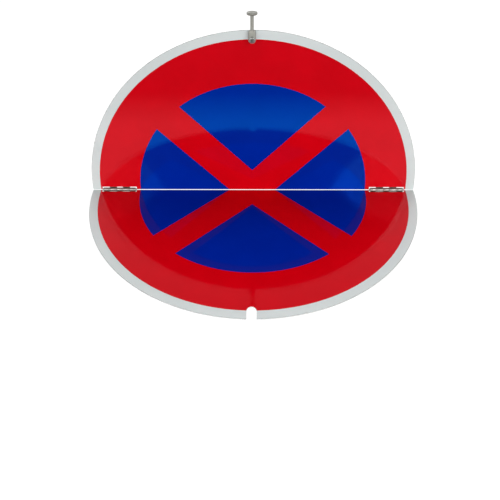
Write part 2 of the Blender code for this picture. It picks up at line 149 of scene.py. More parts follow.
def makeFilmFinish(tone, name):
    look = {**filmLook[tone], "depth": 1.0}  # the film's relief is in metres already
    film, tree, shader, spot = startFinish(
        name, look, Metallic=look["metal"], IOR=1.49, Specular_IOR_Level=look["lacquerLevel"],
        Specular_Tint=toLinear(look["lacquer"]))
    mottle = addNoise(tree, spot, filmLook["mottle"], 3)
    beads = addNode(tree, "TexVoronoi", {"Scale": 1 / filmLook["beadGrain"]}, {"Vector": spot})
    wave = addNoise(tree, spot, filmLook["wave"], 1)
    cloud = stretchPattern(tree, mottle, filmLook["mottleSpread"])
    grain = addNode(tree, "Math", {1: filmLook["grainShare"]}, {0: beads.outputs["Distance"]},
                    operation="MULTIPLY")
    mask = addNode(tree, "Math", {}, {0: cloud, 1: grain.outputs[0]}, operation="ADD",
                   use_clamp=True)
    slope = (0, -filmLook["bow"], filmLook["bow"])
    bow = addNode(tree, "VectorMath", {1: slope}, {0: spot}, operation="DOT_PRODUCT")
    relief = addNode(tree, "Math", {1: filmLook["waveHeight"]},
                     {0: wave, 2: bow.outputs["Value"]}, operation="MULTIPLY_ADD")
    tieFinish(tree, shader, look, mask.outputs[0], relief.outputs[0])
    return film


redFilm = makeFilmFinish("red", "reflectiveFilmRed")
blueFilm = makeFilmFinish("blue", "reflectiveFilmBlue")
whiteFilm = makeFilmFinish("white", "reflectiveFilmWhite")

# Stoved grey lacquer on aluminium sheet: matt, with fine orange peel and a little rubbed dirt
lacquerLook = {"colour": "#575c57", "shade": "#4f5450", "roughness": 0.5, "depth": 0.012 * mm,
               "cloud": 70 * mm, "peel": 0.9 * mm, "peelShare": 0.3, "spread": (0.35, 0.68)}


def makeLacquer(look):
    lacquer, tree, shader, spot = startFinish("stovedGreyLacquer", look, IOR=1.5)
    cloud = addNoise(tree, spot, look["cloud"], 4)
    peel = addNoise(tree, spot, look["peel"], 2)
    both = mixPatterns(tree, look["peelShare"], cloud, peel)
    tieFinish(tree, shader, look, stretchPattern(tree, both, look["spread"]), peel)
    return lacquer


lacquer = makeLacquer(lacquerLook)

metalPattern = {"cloud": 9 * mm, "cloudShare": 0.35, "spread": (0.35, 0.65)}
metalLooks = {
    # sheared aluminium edge, gone matt in the air: pale, with lines across the sheet's thickness
    "edge": {"colour": "#f0f1f0", "shade": "#e2e4e3", "metal": 0.3, "roughness": 0.5,
             "depth": 0.01 * mm, "lines": (0.5 * mm, 0.5 * mm, 4 * mm)},
    # stainless strip as rolled and lightly brushed along the hinge: pale, with soft streaks
    "hinge": {"colour": "#aba8a1", "shade": "#918e88", "metal": 1.0, "roughness": 0.33,
              "depth": 0.006 * mm, "lines": (14 * mm, 0.35 * mm, 0.35 * mm)},
    # turned bar: fine tool rings round the arm's own length, dull satin grey
    "arm": {"colour": "#a2a29a", "shade": "#92928b", "metal": 0.6, "roughness": 0.42,
            "depth": 0.006 * mm, "lines": (6 * mm, 0.3 * mm, 6 * mm)},
    # milled flats: cutter marks across them, dull and a little paler than the bar
    "flat": {"colour": "#a9a9a0", "shade": "#9b9b93", "metal": 0.6, "roughness": 0.46,
             "depth": 0.006 * mm, "lines": (5 * mm, 0.5 * mm, 5 * mm)},
    # faced steel: rings round the middle of the disc, dull satin grey
    "knob": {"colour": "#a6a69f", "shade": "#91918a", "metal": 0.6, "roughness": 0.42,
             "depth": 0.008 * mm, "rings": 0.4 * mm},
    # pressed hexagon socket's floor: dark grey as painted shade, where the recess lies in shade
    "socket": {"colour": "#7c7b75", "shade": "#666561", "metal": 0.7, "roughness": 0.5,
               "depth": 0.004 * mm, "lines": (1 * mm, 1 * mm, 1 * mm)},
    # bright zinc plate on small hardware: grey with soft clouding
    "zinc": {"colour": "#bdbebb", "shade": "#a3a4a1", "metal": 1.0, "roughness": 0.24,
             "depth": 0.004 * mm, "lines": (2 * mm, 2 * mm, 2 * mm)},
    # pressed steel rivets: grey, a little uneven from the press
    "rivet": {"colour": "#bdbab5", "shade": "#a5a29d", "metal": 1.0, "roughness": 0.3,
              "depth": 0.006 * mm, "lines": (1.5 * mm, 1.5 * mm, 1.5 * mm)},
}


# The pattern's own axes, where a piece doesn't lie along the sign's
def turnPattern(tree, spot, place):
    turned = addNode(tree, "Mapping", {"Location": place.to_translation(),
                                       "Rotation": place.to_euler()},
                     {"Vector": spot}, vector_type="TEXTURE")
    return turned.outputs[0]


# Bare metal with fine lines: drawn or cut in one direction, so that it shines in streaks
def makeLinedMetal(name, look, place=None):
    metal, tree, shader, spot = startFinish(name, look, Metallic=look["metal"])
    if place is not None:
        spot = turnPattern(tree, spot, place)
    stretched = addNode(tree, "Mapping", {"Scale": [1 / size for size in look["lines"]]},
                        {"Vector": spot})
    lines = addNode(tree, "TexNoise", {"Scale": 1.0, "Detail": 3, "Roughness": 0.6},
                    {"Vector": stretched.outputs[0]}).outputs["Fac"]
    cloud = addNoise(tree, spot, metalPattern["cloud"], 2)
    both = mixPatterns(tree, metalPattern["cloudShare"], lines, cloud)
    tieFinish(tree, shader, look, stretchPattern(tree, both, metalPattern["spread"]), lines)
    return metal


# Rings round a turned piece's own axis, by the distance from it
def makeFacedMetal(name, look, place):
    metal, tree, shader, spot = startFinish(name, look, Metallic=look["metal"])
    spot = turnPattern(tree, spot, place)
    flat = addNode(tree, "VectorMath", {1: (1, 1, 0)}, {0: spot}, operation="MULTIPLY")
    reach = addNode(tree, "VectorMath", {}, {0: flat.outputs[0]}, operation="LENGTH")
    rings = addNode(tree, "TexNoise", {"Scale": 1 / look["rings"], "Detail": 2},
                    {"W": reach.outputs["Value"]}, noise_dimensions="1D").outputs["Fac"]
    tieFinish(tree, shader, look, stretchPattern(tree, rings, metalPattern["spread"]), rings)
    return metal


cutEdge = makeLinedMetal("shearedAluminiumEdge", metalLooks["edge"])
hingeSteel = makeLinedMetal("brushedStainlessStrip", metalLooks["hinge"])
armSteel = makeLinedMetal("turnedBarSteel", metalLooks["arm"], armPlace)
knobSteel = makeFacedMetal("facedDiscSteel", metalLooks["knob"], armPlace @ standUp)
flatSteel = makeLinedMetal("milledFlatSteel", metalLooks["flat"], armPlace)
zincPlate = makeLinedMetal("brightZincPlate", metalLooks["zinc"])
socketFloorShade = makeLinedMetal("pressedSocketPaintedShade", metalLooks["socket"])
rivetSteel = makeLinedMetal("pressedRivetSteel", metalLooks["rivet"])

# Printed vinyl stickers: even colour, satin, with a faint pressed grain and a little dirt
vinylPattern = {"depth": 0.006 * mm, "cloud": 25 * mm, "grain": 0.8 * mm, "grainShare": 0.3,
                "spread": (0.4, 0.72)}
stickerLooks = {
    "whiteVinylSticker": {"colour": "#f0f1ef", "shade": "#e6e7e4", "roughness": 0.42},
    "blackInkOnVinyl": {"colour": "#1d1d1f", "shade": "#262628", "roughness": 0.38},
    "greyInkOnVinyl": {"colour": "#8e908f", "shade": "#858786", "roughness": 0.40},
    "roseInkOnVinyl": {"colour": "#f0a58e", "shade": "#e99f88", "roughness": 0.40},
    "clearVinylSticker": {"colour": "#565d58", "shade": "#505753", "roughness": 0.22},
    "yellowVinylSticker": {"colour": "#fbcd00", "shade": "#f3c400", "roughness": 0.36},
}


def makeVinyl(name):
    look = {**stickerLooks[name], **vinylPattern}
    vinyl, tree, shader, spot = startFinish(name, look, IOR=1.5)
    grain = addNoise(tree, spot, look["grain"], 2)
    cloud = addNoise(tree, spot, look["cloud"], 3)
    both = mixPatterns(tree, look["grainShare"], cloud, grain)
    tieFinish(tree, shader, look, stretchPattern(tree, both, look["spread"]), grain)
    return vinyl


vinyls = {name: makeVinyl(name) for name in stickerLooks}
print("finishes made:", len(bpy.data.materials))


def sharpEdges(piece, angle):
    return [edge for edge in piece.edges
            if len(edge.link_faces) == 2 and edge.calc_face_angle() > math.radians(angle)]


def softenEdges(piece, edges, width, segments):
    bmesh.ops.bevel(piece, geom=edges, offset=width, segments=segments, affect="EDGES",
                    profile=0.5, material=-1, clamp_overlap=True)


# What an operator made, of one kind: vertices or edges
def madeOf(made, kind):
    return [item for item in made if isinstance(item, kind)]


def everything(piece):
    return piece.verts[:] + piece.edges[:] + piece.faces[:]


def finishPiece(name, piece, place, body, finishes, slotName, *replaced):
    bmesh.ops.transform(piece, matrix=place, verts=piece.verts)
    bmesh.ops.recalc_face_normals(piece, faces=piece.faces)
    for face in piece.faces:
        face.smooth = True
    for edge in sharpEdges(piece, sign["crease"]):
        edge.smooth = False
    mesh = bpy.data.meshes.new(name)
    piece.to_mesh(mesh)
    piece.free()
    for finish in finishes:
        mesh.materials.append(finish)
    shape = bpy.data.objects.new(name, mesh)
    bpy.context.scene.collection.objects.link(shape)
    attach(shape, body)
    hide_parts(*replaced)


# A line of (radius, height) points turned right round its z axis
def turnProfile(points, steps, closed=False):
    piece = bmesh.new()
    verts = [piece.verts.new((radius, 0, height)) for radius, height in points]
    edges = [piece.edges.new(pair) for pair in zip(verts, verts[1:])]
    if closed:
        edges.append(piece.edges.new((verts[-1], verts[0])))
    bmesh.ops.spin(piece, geom=verts + edges, cent=(0, 0, 0), axis=(0, 0, 1),
                   angle=2 * math.pi, steps=steps, use_merge=True)
    bmesh.ops.remove_doubles(piece, verts=piece.verts, dist=0.002 * mm)
    return piece


def inMm(points):
    return [(radius * mm, height * mm) for radius, height in points]


# The two sheets: the CAD's own outline, merged, with deburred edges and sides left as bare metal
sheetShape = {
    "merge": 0.001 * mm,
    "flatWithin": 0.5,  # degrees within which the CAD's small faces are one flat face
    "sharp": 60,
    "deburr": 0.22 * mm,
    "segments": 2,
    "sideTilt": 0.5,  # a face turned this far from the sheet's own face belongs to its side
}
for half in ("lower", "upper"):
    name = half + "_panel"
    panel = bmesh.new()
    panel.from_mesh(nodes[name].data)
    bmesh.ops.remove_doubles(panel, verts=panel.verts, dist=sheetShape["merge"])
    bmesh.ops.dissolve_limit(panel, angle_limit=math.radians(sheetShape["flatWithin"]),
                             verts=panel.verts, edges=panel.edges)
    softenEdges(panel, sharpEdges(panel, sheetShape["sharp"]), sheetShape["deburr"],
                sheetShape["segments"])
    out = halves[half]["place"].to_3x3() @ Vector((0, 0, 1))
    for face in panel.faces:
        face.normal_update()
        face.material_index = 1 if abs(face.normal.dot(out)) < sheetShape["sideTilt"] else 0
    finishPiece(half + "Sheet", panel, Matrix.Identity(4), halves[half]["body"],
                [lacquer, cutEdge], "aluminium_sheet", name)
print("sheets made")

# The films keep the CAD's own shapes
filmFinishes = {"rim": whiteFilm, "red": redFilm, "blue": blueFilm}
for name, node in nodes.items():
    if "_film" in name:
        node.data.materials.clear()
        node.data.materials.append(filmFinishes[name.split("_")[1]])
print("films dressed")

leafShape = {
    "width": 60 * mm,
    "reach": 30 * mm,
    "thickness": 1.2 * mm,
    "barrel": 3.8 * mm,
    "slotReach": 5.0 * mm,
    "roll": 312,  # degrees that each knuckle is rolled round the pin
    "rollSteps": 30,
    "sharp": 60,
    "edge": 0.16 * mm,
    "edgeSegments": 2,
    "corner": 0.9 * mm,
    "cornerSegments": 4,
    "lower": [(-30, -19.4), (-5.3, 5.3), (19.4, 30)],  # where its knuckles are, in mm
    "upper": [(-19.0, -5.7), (5.7, 19.0)],
    "cell": 4.6 * mm,  # half the square that is cut free round each rivet
    "cellCuts": 9,
    "sinks": [(3.78, 0.0), (3.62, 0.14), (2.5, 0.9)],  # radius and depth of a countersink, in mm
    "inset": 0.05 * mm,
    "merge": 0.001 * mm,
    "near": 0.01 * mm,
    "about": 0.1 * mm,
}
rivetShape = {
    "side": (22.8 * mm, 16 * mm),
    "middle": (0.0, 23.2 * mm),
    "steps": 40,
    "profile": [(0, -3.42), (0.9, -3.44), (1.7, -3.6), (2.3, -3.74), (2.9, -3.78), (3.3, -3.74),
                (3.52, -3.6), (2.05, -2.62), (2.0, -0.65), (0, -0.65)],
}
pinShape = {"radius": 2.5 * mm, "length": 64.5 * mm, "dome": 0.9 * mm, "domeSteps": 6, "steps": 40}


def isAt(edge, x, y):
    return all(abs(abs(vert.co.x) - x) < leafShape["near"]
               and abs(vert.co.y - y) < leafShape["near"] for vert in edge.verts)


def isFlat(item):
    verts = [item] if isinstance(item, bmesh.types.BMVert) else item.verts
    return all(vert.co.y > leafShape["slotReach"] - leafShape["about"] for vert in verts)


def rivetSpots():
    side, middle = rivetShape["side"], rivetShape["middle"]
    return [(-side[0], side[1]), side, middle]


# Outer skin first: the flat strip, then each knuckle's tongue, then its roll, last the thickness
def makeLeaf(knuckles):
    leaf = bmesh.new()
    skin, slot, side = -leafShape["barrel"], leafShape["slotReach"], leafShape["width"] / 2
    ends = sorted({-side, side, *[x * mm for pair in knuckles for x in pair]})
    row = [leaf.verts.new((x, leafShape["reach"], skin)) for x in ends]
    edges = [leaf.edges.new(pair) for pair in zip(row, row[1:])]
    strip = bmesh.ops.extrude_edge_only(leaf, edges=edges)["geom"]
    bmesh.ops.translate(leaf, verts=madeOf(strip, bmesh.types.BMVert),
                        vec=(0, slot - leafShape["reach"], 0))
    for low, high in knuckles:
        middle = (low + high) / 2 * mm
        root = [edge for edge in leaf.edges
                if all(abs(vert.co.y - slot) < leafShape["near"] for vert in edge.verts)
                and abs(sum(vert.co.x for vert in edge.verts) / 2 - middle) < leafShape["about"]]
        tongue = bmesh.ops.extrude_edge_only(leaf, edges=root)["geom"]
        verts = madeOf(tongue, bmesh.types.BMVert)
        edges = madeOf(tongue, bmesh.types.BMEdge)
        bmesh.ops.translate(leaf, verts=verts, vec=(0, -slot, 0))
        bmesh.ops.spin(leaf, geom=verts + edges, cent=(0, 0, 0), axis=(1, 0, 0),
                       angle=-math.radians(leafShape["roll"]), steps=leafShape["rollSteps"],
                       use_merge=False)
    bmesh.ops.remove_doubles(leaf, verts=leaf.verts, dist=leafShape["merge"])
    for x, y in rivetSpots():
        for offset in (-leafShape["cell"], leafShape["cell"]):
            for point, normal in (((x + offset, 0, 0), (1, 0, 0)), ((0, y + offset, 0), (0, 1, 0))):
                flat = [item for item in everything(leaf) if isFlat(item)]
                bmesh.ops.bisect_plane(leaf, geom=flat, plane_co=point, plane_no=normal,
                                       dist=leafShape["merge"])
    bmesh.ops.recalc_face_normals(leaf, faces=leaf.faces)
    if max(leaf.faces, key=lambda face: face.calc_center_median().y).normal.z > 0:
        bmesh.ops.reverse_faces(leaf, faces=leaf.faces)
    bmesh.ops.solidify(leaf, geom=leaf.faces[:], thickness=leafShape["thickness"])
    bmesh.ops.recalc_face_normals(leaf, faces=leaf.faces)
    corners = [edge for edge in leaf.edges if isAt(edge, side, leafShape["reach"])]
    softenEdges(leaf, corners, leafShape["corner"], leafShape["cornerSegments"])
    softenEdges(leaf, sharpEdges(leaf, leafShape["sharp"]), leafShape["edge"],
                leafShape["edgeSegments"])
    for x, y in rivetSpots():
        sinkRivet(leaf, x, y)
    return leaf


# A round countersink in the flat cell round a rivet
def sinkRivet(leaf, x, y):
    centre = Vector((x, y, -leafShape["barrel"]))
    cell = min(leaf.faces, key=lambda face: (face.calc_center_median() - centre).length)
    bmesh.ops.bisect_edges(leaf, edges=cell.edges[:], cuts=leafShape["cellCuts"])
    for radius, depth in leafShape["sinks"]:
        bmesh.ops.inset_individual(leaf, faces=[cell], thickness=leafShape["inset"])
        for vert in cell.verts:
            away = Vector((vert.co.x - x, vert.co.y - y, 0)).normalized()
            vert.co = centre + away * radius * mm + Vector((0, 0, depth * mm))


# A straight pin with a low dome at each end
def makePin(shape):
    end, quarter = shape["length"] / 2, 2 * shape["domeSteps"]
    dome = [(shape["radius"] * math.sin(turn * math.pi / quarter),
             end - shape["dome"] * (1 - math.cos(turn * math.pi / quarter)))
            for turn in range(shape["domeSteps"] + 1)]
    return turnProfile(dome + [(across, -height) for across, height in dome[::-1]], shape["steps"])


for half, base in halves.items():
    for side in (-1, 1):
        where = "left" if side < 0 else "right"
        outward = side * base["facing"]
        centre = base["place"] @ Matrix.Translation((outward * sign["hingeOffset"], 0, 0))
        title = half.capitalize() + where.capitalize()
        finishPiece("hingeLeaf" + title, makeLeaf(leafShape[half]), centre, base["body"],
                    [hingeSteel], "hinge_steel", "hinge_leaf_" + half + "_" + where)
        spots = {
            "outer": (outward * rivetShape["side"][0], rivetShape["side"][1]),
            "inner": (-outward * rivetShape["side"][0], rivetShape["side"][1]),
            "middle": rivetShape["middle"],
        }
        for spot, (x, y) in spots.items():
            rivet = turnProfile(inMm(rivetShape["profile"]), rivetShape["steps"])
            finishPiece("rivet" + title + spot.capitalize(), rivet,
                        centre @ Matrix.Translation((x, y, 0)), base["body"], [rivetSteel],
                        "rivet_steel", "_".join(("rivet", half, where, spot)))
        if half == "lower":
            finishPiece("hingePin" + where.capitalize(), makePin(pinShape), centre @ layAlong,
                        "lower_half", [hingeSteel], "hinge_steel", "hinge_pin_" + where)
print("hinges made")

# The latch's measures, in mm: heights are from the fold's plane, and the arm's from its own middle
latchShape = {
    "sleeve": {"inner": 2.65, "outer": 5.5, "low": -0.05, "high": 8.3, "chamfer": 0.4},
    "washer": {"inner": 2.65, "outer": 5.3, "low": 14.9, "high": 15.9, "chamfer": 0.15},
    "backWasher": {"inner": 2.65, "outer": 5.3, "low": -3.6, "high": -2.6, "chamfer": 0.15},
    "ringSteps": 56,
    "nut": {"acrossFlats": 8.0, "inner": 2.65, "low": -7.7, "high": -3.7, "steps": 60,
            "faceShare": 0.48, "coneAngle": 30},
    "screw": {"radius": 2.5, "seat": 16.0, "headRadius": 4.75, "headHeight": 2.75, "crown": 3.6,
              "headEdge": 0.15, "crownSteps": 8, "tail": -8.7,
              "point": (0.5, 0.1, 0.4),  # the tail's cone: inward at its end and root, and length
              "threadStart": 0.45, "threadEnd": 2.4, "pitch": 0.8, "threadDepth": 0.35,
              "steps": 60, "socket": 3.8, "socketDepth": 2.2, "socketInset": 0.02,
              "socketEdge": (0.15, 0.12),  # how much wider its mouth is, and how deep
              "drillPoint": 0.3},
    "arm": {"eye": 6.2, "blank": 1.2, "halfThickness": 3.2, "taperStart": 2.0, "bodyReach": 13.5,
            "bodyEnd": 5.6, "rod": 2.8, "shoulder": 38.1, "chamfer": 0.4, "steps": 64,
            "eyeSteps": 24, "cutMerge": 0.0005, "merge": 0.004, "sharp": 40, "edge": 0.35,
            "edgeSegments": 3, "flatFacing": 0.95},
    "knob": {"radius": 8.5, "thickness": 4.0, "chamfer": 0.7, "distance": 38.2,
             "dish": 0.25, "dishRadii": (4.5, 5.1),
             "centre": (0.5, 1.0, 0.25),  # the lathe centre's mark: two radii and its depth
             "steps": 72, "sharp": 40, "edge": 0.12, "edgeSegments": 2},
}


def makeRing(shape):
    inner, outer = shape["inner"] * mm, shape["outer"] * mm
    low, high, cut = shape["low"] * mm, shape["high"] * mm, shape["chamfer"] * mm
    points = [(inner, low), (outer - cut, low), (outer, low + cut), (outer, high - cut),
              (outer - cut, high), (inner, high)]
    return turnProfile(points, latchShape["ringSteps"], closed=True)


finishPiece("latchSleeve", makeRing(latchShape["sleeve"]), screwPlace, "upper_half", [armSteel],
            "turned_steel", "latch_sleeve")
finishPiece("latchWasher", makeRing(latchShape["washer"]), screwPlace, "upper_half", [zincPlate],
            "zinc_plated_steel", "latch_washer")
finishPiece("latchBackWasher", makeRing(latchShape["backWasher"]), screwPlace, "upper_half",
            [zincPlate], "zinc_plated_steel", "latch_back_washer")


# How far a hexagon reaches from its middle in one direction
def hexReach(across, angle):
    return across / 2 / math.cos((angle % (math.pi / 3)) - math.pi / 6)


# Hexagon nut: its corners run off into a cone at both ends
def makeNut(shape):
    across, cone = shape["acrossFlats"] * mm, math.tan(math.radians(shape["coneAngle"]))
    faceRadius = across * shape["faceShare"]
    nut = bmesh.new()
    bmesh.ops.create_circle(nut, segments=shape["steps"], radius=shape["inner"] * mm)
    bmesh.ops.translate(nut, verts=nut.verts, vec=(0, 0, shape["low"] * mm))
    loop = nut.edges[:]
    for place, height in (("flat", "low"), ("corner", "low"), ("corner", "high"),
                          ("flat", "high"), ("bore", "high")):
        made = bmesh.ops.extrude_edge_only(nut, edges=loop)["geom"]
        loop = madeOf(made, bmesh.types.BMEdge)
        for vert in madeOf(made, bmesh.types.BMVert):
            angle = math.atan2(vert.co.y, vert.co.x)
            corner = hexReach(across, angle)
            reach = {"flat": faceRadius, "corner": corner, "bore": shape["inner"] * mm}[place]
            inward = (corner - faceRadius) * cone if place == "corner" else 0
            level = shape[height] * mm + (inward if height == "low" else -inward)
            vert.co = (reach * math.cos(angle), reach * math.sin(angle), level)
    bmesh.ops.bridge_loops(nut, edges=[edge for edge in nut.edges if edge.is_boundary])
    return nut


finishPiece("latchNut", makeNut(latchShape["nut"]), screwPlace, "upper_half", [zincPlate],
            "zinc_plated_steel", "latch_nut")


# Button head screw: domed head with a hexagon socket, and a thread that shows past the nut
def makeScrew(shape):
    radius, seat, tail = shape["radius"], shape["seat"], shape["tail"]
    head, crown, top = shape["headRadius"], shape["crown"], seat + shape["headHeight"]
    shoulder = seat + shape["headEdge"]
    pointIn, pointOut, pointLength = shape["point"]
    points = [(0, tail), (radius - pointIn, tail), (radius - pointOut, tail + pointLength)]
    level = tail + shape["threadStart"]
    while level < tail + shape["threadEnd"]:
        points += [(radius, level), (radius - shape["threadDepth"], level + shape["pitch"] / 2)]
        level += shape["pitch"]
    points += [(radius, level), (radius, seat), (head - shape["headEdge"], seat),
               (head, shoulder)]
    for step in range(1, shape["crownSteps"] + 1):
        turn = step * math.pi / (2 * shape["crownSteps"])
        points.append((crown + (head - crown) * math.cos(turn),
                       shoulder + (shape["headHeight"] - shape["headEdge"]) * math.sin(turn)))
    screw = turnProfile(inMm(points), shape["steps"])
    rim = [edge for edge in screw.edges if edge.is_boundary]
    bottom = bmesh.ops.contextual_create(screw, geom=rim)["faces"][0]
    wider, edgeDepth = shape["socketEdge"]
    for extra, depth in ((wider, 0.0), (0.0, edgeDepth), (0.0, shape["socketDepth"])):
        bmesh.ops.inset_individual(screw, faces=[bottom], thickness=shape["socketInset"] * mm)
        for vert in bottom.verts:
            angle = math.atan2(vert.co.y, vert.co.x)
            reach = hexReach(shape["socket"] * mm + extra * mm, angle)
            vert.co = (reach * math.cos(angle), reach * math.sin(angle), (top - depth) * mm)
    # The socket's floor takes the second, darker finish: painted shade in the recess
    bottom.material_index = 1
    bmesh.ops.poke(screw, faces=[bottom], offset=-shape["drillPoint"] * mm)
    return screw


finishPiece("latchScrew", makeScrew(latchShape["screw"]), screwPlace, "upper_half",
            [zincPlate, socketFloorShade], "zinc_plated_steel", "latch_screw")


# The arm is turned, then milled flat on two sides and rounded at the eye
def makeArm(shape):
    eye, rod, shoulder = shape["eye"] * mm, shape["rod"] * mm, shape["shoulder"] * mm
    points = [(0, -eye * shape["blank"]), (eye, -eye * shape["blank"]),
              (eye, shape["taperStart"] * mm), (shape["bodyEnd"] * mm, shape["bodyReach"] * mm),
              (rod, shape["bodyReach"] * mm), (rod, (shape["shoulder"] - shape["chamfer"]) * mm),
              (rod - shape["chamfer"] * mm, shoulder), (0, shoulder)]
    arm = turnProfile(points, shape["steps"])
    bmesh.ops.transform(arm, matrix=standUp, verts=arm.verts)
    cuts = [(Vector((0, 0, side * shape["halfThickness"] * mm)), Vector((0, 0, side)))
            for side in (-1, 1)]
    for step in range(shape["eyeSteps"] + 1):
        turn = math.pi + math.pi * step / shape["eyeSteps"]
        away = Vector((math.cos(turn), math.sin(turn), 0))
        cuts.append((away * eye, away))
    for point, normal in cuts:
        cut = bmesh.ops.bisect_plane(arm, geom=everything(arm), plane_co=point, plane_no=normal,
                                     clear_outer=True, dist=shape["cutMerge"] * mm)["geom_cut"]
        rim = [edge for edge in madeOf(cut, bmesh.types.BMEdge) if edge.is_boundary]
        if rim:
            bmesh.ops.holes_fill(arm, edges=rim, sides=0)
    bmesh.ops.remove_doubles(arm, verts=arm.verts, dist=shape["merge"] * mm)
    bmesh.ops.recalc_face_normals(arm, faces=arm.faces)
    softenEdges(arm, sharpEdges(arm, shape["sharp"]), shape["edge"] * mm, shape["edgeSegments"])
    for face in arm.faces:
        isMilled = (abs(face.normal.z) > shape["flatFacing"]
                    and abs(face.calc_center_median().z) > eye / 2)
        face.material_index = 1 if isMilled else 0
    return arm


finishPiece("latchArm", makeArm(latchShape["arm"]), armPlace, "latch", [armSteel, flatSteel],
            "turned_steel", "latch_arm")


# Round disc with a chamfered rim, a shallow dish in its face and the lathe centre's mark in it
def makeKnob(shape):
    radius, thickness, cut = shape["radius"], shape["thickness"], shape["chamfer"]
    bottom = thickness - shape["dish"]
    markFoot, markEdge, markDepth = shape["centre"]
    dishFoot, dishEdge = shape["dishRadii"]
    points = [(0, bottom), (markFoot, bottom - markDepth), (markEdge, bottom), (dishFoot, bottom),
              (dishEdge, thickness), (radius - cut, thickness), (radius, thickness - cut),
              (radius, cut), (radius - cut, 0), (0, 0)]
    knob = turnProfile(inMm(points), shape["steps"])
    softenEdges(knob, sharpEdges(knob, shape["sharp"]), shape["edge"] * mm, shape["edgeSegments"])
    return knob


knobPlace = armPlace @ Matrix.Translation((0, latchShape["knob"]["distance"] * mm, 0)) @ standUp
finishPiece("latchKnob", makeKnob(latchShape["knob"]), knobPlace, "latch", [knobSteel],
            "turned_steel", "latch_knob")
print("latch made")

# The ruled boxes stand for a data plate's form; its words and signs are left off
stickerShape = {
    "top": -2.6,
    "thickness": 0.1,
    "cut": 0.0001,
    "data": {"corner": (120.3, 129.3), "size": (67.0, 86.0), "turn": -2.3},
    "clear": {"corner": (119.7 - 64.3, 175.8), "size": (64.3, 40.0), "turn": 0.0},
    # ink boxes from the outer top corner: left, right, top, bottom as shares, and the ink's number
    "ink": [
        (0.160, 0.168, 0.03, 0.235, 1), (0.332, 0.340, 0.03, 0.235, 1),
        (0.496, 0.504, 0.03, 0.235, 1),
        (0.02, 0.98, 0.103, 0.108, 2), (0.02, 0.98, 0.186, 0.191, 2),
        (0.02, 0.98, 0.231, 0.238, 1),
        (0.515, 0.545, 0.238, 1.0, 2),
        (0.585, 0.965, 0.262, 0.375, 1),
        (0.585, 0.965, 0.405, 0.412, 1), (0.585, 0.965, 0.680, 0.687, 1),
        (0.585, 0.594, 0.412, 0.680, 1), (0.956, 0.965, 0.412, 0.680, 1),
        (0.585, 0.965, 0.740, 0.752, 3), (0.585, 0.965, 0.892, 0.904, 3),
        (0.585, 0.600, 0.752, 0.892, 3), (0.950, 0.965, 0.752, 0.892, 3),
    ],
}


def makeSticker(shape, ink=()):
    width, height = shape["size"]
    low = stickerShape["top"] - stickerShape["thickness"]
    sticker = bmesh.new()
    bmesh.ops.create_grid(sticker, x_segments=1, y_segments=1, size=0.5)
    bmesh.ops.scale(sticker, vec=(width * mm, height * mm, 1), verts=sticker.verts)
    bmesh.ops.translate(sticker, vec=(width / 2 * mm, height / 2 * mm, low * mm),
                        verts=sticker.verts)
    across = sorted({width * (1 - share) for box in ink for share in box[:2]})
    up = sorted({height * (1 - share) for box in ink for share in box[2:4]})
    cuts = [((x * mm, 0, 0), (1, 0, 0)) for x in across]
    cuts += [((0, y * mm, 0), (0, 1, 0)) for y in up]
    for point, normal in cuts:
        bmesh.ops.bisect_plane(sticker, geom=everything(sticker), plane_co=point,
                               plane_no=normal, dist=stickerShape["cut"] * mm)
    for face in sticker.faces:
        spot = face.calc_center_median() / mm
        left, top = 1 - spot.x / width, 1 - spot.y / height
        for box in ink:
            if box[0] < left < box[1] and box[2] < top < box[3]:
                face.material_index = box[4]
    lifted = bmesh.ops.extrude_face_region(sticker, geom=sticker.faces[:])["geom"]
    bmesh.ops.translate(sticker, vec=(0, 0, (stickerShape["top"] - low) * mm),
                        verts=madeOf(lifted, bmesh.types.BMVert))
    return sticker


def stickerPlace(shape):
    corner = Matrix.Translation((shape["corner"][0] * mm, shape["corner"][1] * mm, 0))
    turn = Matrix.Rotation(math.radians(shape["turn"]), 4, "Z")
    return halves["lower"]["place"] @ corner @ turn


inks = [vinyls[name] for name in ("whiteVinylSticker", "blackInkOnVinyl", "greyInkOnVinyl",
                                  "roseInkOnVinyl")]
finishPiece("dataSticker", makeSticker(stickerShape["data"], stickerShape["ink"]),
            stickerPlace(stickerShape["data"]), "lower_half", inks, "label_white", "data_label")
finishPiece("clearSticker", makeSticker(stickerShape["clear"]),
            stickerPlace(stickerShape["clear"]), "lower_half", [vinyls["clearVinylSticker"]],
            "label_clear", "clear_label")
yellowStrip = nodes["yellow_strip"]
yellowStrip.data.materials.clear()
yellowStrip.data.materials.append(vinyls["yellowVinylSticker"])
print("stickers made")

setting = {
    "floorHalf": 6,
    "floorDrop": 0.1 * mm,
    "floorTone": 0.22,
    "floorGlow": 0.88,
    # what shiny pieces see of the floor: bright beside the sign and dark farther in front of it
    "mirrorGlow": {"near": -0.20, "far": -0.42, "bright": 1.0, "dim": 0.0},
    "ambient": 0.05,
    "ceiling": {"low": 0.55, "high": 0.9, "level": 0.3},  # what shiny pieces see overhead
    "lamps": [
        {"name": "rightSoftbox", "place": (1.18, -2.3, 1.83), "size": (1.4, 1.4), "power": 35,
         "mirrored": True},
        {"name": "leftSoftbox", "place": (-1.27, -2.3, 1.85), "size": (1.4, 1.4), "power": 23,
         "mirrored": True},
        {"name": "frontSoftbox", "place": (0.1, -2.4, 0.4), "size": (1.0, 1.0), "power": 29,
         "mirrored": False},
        {"name": "topSoftbox", "place": (0.0, 1.1, 2.0), "size": (1.2, 1.2), "power": 28,
         "mirrored": False},
        {"name": "backSoftbox", "place": (0.0, 2.3, 0.7), "size": (1.4, 1.4), "power": 24,
         "mirrored": False},
    ],
}
floorMesh = bmesh.new()
bmesh.ops.create_grid(floorMesh, x_segments=1, y_segments=1, size=setting["floorHalf"])
bmesh.ops.translate(floorMesh, vec=(0, 0, -setting["floorDrop"]), verts=floorMesh.verts)
floorData = bpy.data.meshes.new("floor")
